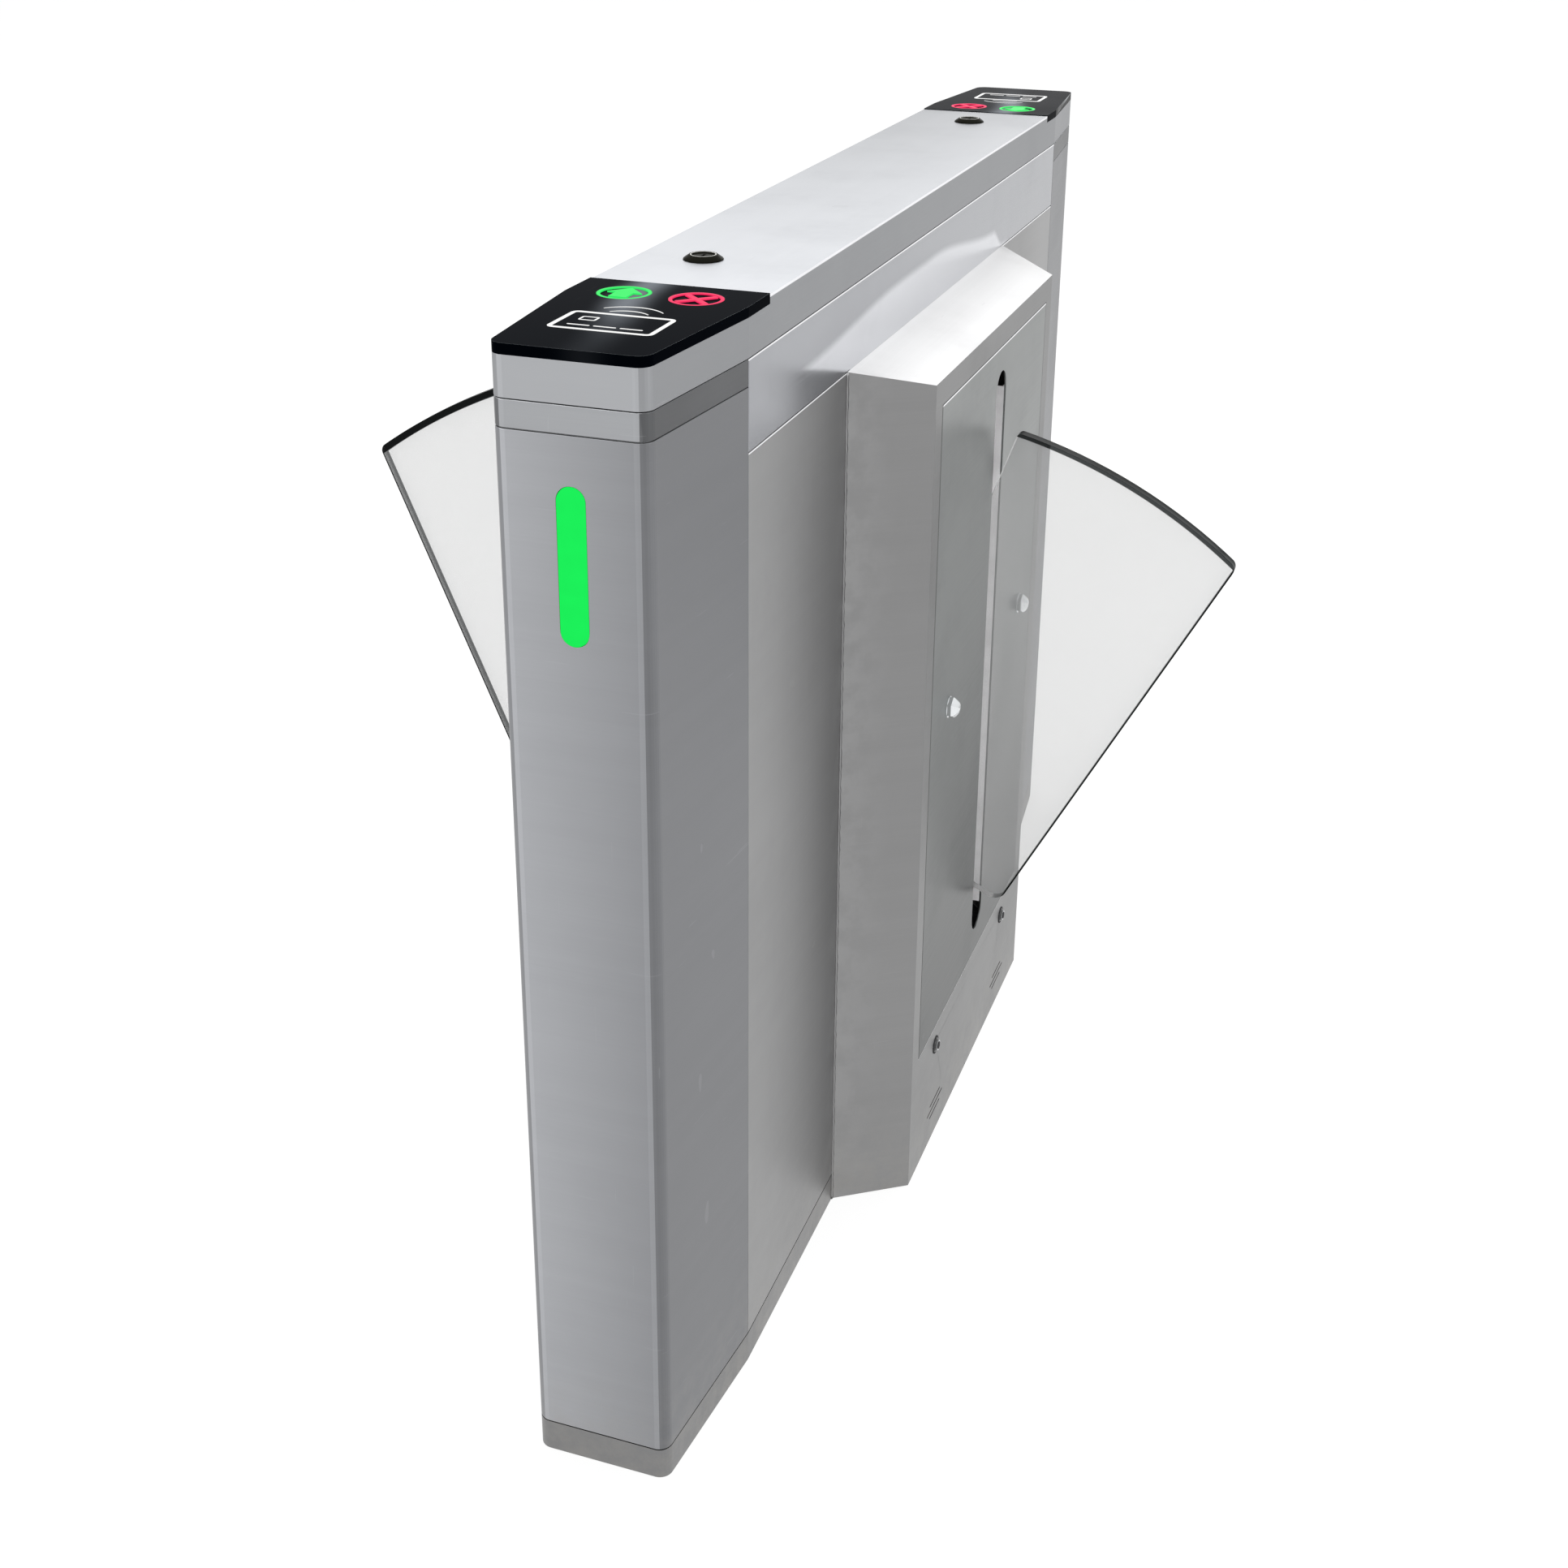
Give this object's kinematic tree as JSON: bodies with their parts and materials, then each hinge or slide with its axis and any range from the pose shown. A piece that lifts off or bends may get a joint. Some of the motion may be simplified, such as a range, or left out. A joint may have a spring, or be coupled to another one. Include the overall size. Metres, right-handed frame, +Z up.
{
  "type": "flap barrier turnstile",
  "caption": "Flap barrier turnstile: slim steel cabinet between walk-through lanes, with clear flaps that swing in and out of its sides, reader panels and a lift-off lid.",
  "frame": {"origin": "on the floor, in the middle of the four floor anchor holes", "axes": "+Z up, +Y along the cabinet from its front end to its rear end, +X towards the right flap"},
  "size_m": [0.9455, 1.4012, 1.0045],
  "materials": {
    "shell_steel": "brushed",
    "slot_plate_steel": "brushed",
    "lid_steel": "brushed",
    "polished_steel": "polished",
    "frame_steel": "satin",
    "drive_steel": "satin",
    "bearing_steel": "polished",
    "motor_paint": "satin",
    "rubber": "matte",
    "black_panel": "gloss",
    "module_plastic": "matte",
    "board": "satin",
    "supply_case": "satin",
    "light_green": "gloss",
    "symbol_green": "gloss",
    "symbol_red": "gloss",
    "dark_screw": "satin",
    "lock_black": "gloss",
    "clear_acrylic": "gloss"
  },
  "bodies": {
    "cabinet": {"plinth_frame": "frame_steel", "cable_grommets": "rubber", "inner_frame": "frame_steel", "front_pillar": "shell_steel", "rear_pillar": "shell_steel", "front_neck_band": "shell_steel", "rear_neck_band": "shell_steel", "right_upper_rail": "shell_steel", "left_upper_rail": "shell_steel", "front_right_side_panel": "shell_steel", "front_left_side_panel": "shell_steel", "rear_right_side_panel": "shell_steel", "rear_left_side_panel": "shell_steel", "right_flap_housing": "shell_steel", "left_flap_housing": "shell_steel", "right_slot_plate": "slot_plate_steel", "left_slot_plate": "slot_plate_steel", "slot_guides": "polished_steel", "waist_cap_nuts": "polished_steel", "ankle_screws": "dark_screw", "front_status_lens": "light_green", "rear_status_lens": "light_green", "status_light_boards": "board", "mechanism_base": "drive_steel", "right_bearing_stand": "drive_steel", "left_bearing_stand": "drive_steel", "shaft_bearings": "bearing_steel", "right_gear_motor": "motor_paint", "left_gear_motor": "motor_paint", "stop_buffers": "rubber", "position_sensors": "module_plastic", "mounting_plates": "frame_steel", "control_board": "board", "power_supply": "supply_case", "backup_battery": "module_plastic", "lock_strikes": "frame_steel"},
    "lid": {"lid_cover": "lid_steel", "front_reader_panel": "black_panel", "rear_reader_panel": "black_panel", "front_reader_module": "module_plastic", "rear_reader_module": "module_plastic", "go_symbols": "symbol_green", "stop_symbols": "symbol_red", "lock_bodies": "lock_black"},
    "front_lock": {"front_lock_plug": "polished_steel"},
    "rear_lock": {"rear_lock_plug": "polished_steel"},
    "right_flap": {"right_flap_panel": "clear_acrylic", "right_clamp_arm": "drive_steel", "right_clamp_bolts": "polished_steel", "right_flap_shaft": "bearing_steel"},
    "left_flap": {"left_flap_panel": "clear_acrylic", "left_clamp_arm": "drive_steel", "left_clamp_bolts": "polished_steel", "left_flap_shaft": "bearing_steel"},
    "right_crank": {"right_crank": "drive_steel"},
    "left_crank": {"left_crank": "drive_steel"},
    "right_link": {"right_link": "bearing_steel"},
    "left_link": {"left_link": "bearing_steel"}
  },
  "joints": [
    {"name": "lid_lift", "type": "slide", "parent": "cabinet", "child": "lid", "axis": [0, 0, 1], "range_m": [0, 0.2]},
    {"name": "front_lock_turn", "type": "hinge", "parent": "lid", "child": "front_lock", "pos_m": [-0.018, -0.391, 1], "axis": [0, 0, 1], "range_deg": [0, 90]},
    {"name": "rear_lock_turn", "type": "hinge", "parent": "lid", "child": "rear_lock", "pos_m": [0, 0.413, 1], "axis": [0, 0, 1], "range_deg": [0, 90]},
    {"name": "right_flap_swing", "type": "hinge", "parent": "cabinet", "child": "right_flap", "pos_m": [0.104, 0.018, 0.1], "axis": [0, -1, 0], "range_deg": [0, 26]},
    {"name": "left_flap_swing", "type": "hinge", "parent": "cabinet", "child": "left_flap", "pos_m": [-0.104, -0.018, 0.1], "axis": [0, 1, 0], "range_deg": [0, 44]},
    {"name": "right_crank_turn", "type": "hinge", "parent": "cabinet", "child": "right_crank", "pos_m": [0.024, 0.079, 0.29], "axis": [0, -1, 0], "range_deg": [0, 26]},
    {"name": "left_crank_turn", "type": "hinge", "parent": "cabinet", "child": "left_crank", "pos_m": [-0.024, -0.079, 0.29], "axis": [0, 1, 0], "range_deg": [0, 44]},
    {"name": "right_link_turn", "type": "hinge", "parent": "right_flap", "child": "right_link", "pos_m": [0.06405, 0.069, 0.09802], "axis": [0, -1, 0], "range_deg": [-26, 0]},
    {"name": "left_link_turn", "type": "hinge", "parent": "left_flap", "child": "left_link", "pos_m": [-0.06405, -0.069, 0.09802], "axis": [0, 1, 0], "range_deg": [-44, 0]}
  ],
  "couplings": [
    {"joint": "right_crank_turn", "follows": "right_flap_swing", "ratio": 1},
    {"joint": "right_link_turn", "follows": "right_flap_swing", "ratio": -1},
    {"joint": "left_crank_turn", "follows": "left_flap_swing", "ratio": 1},
    {"joint": "left_link_turn", "follows": "left_flap_swing", "ratio": -1}
  ]
}
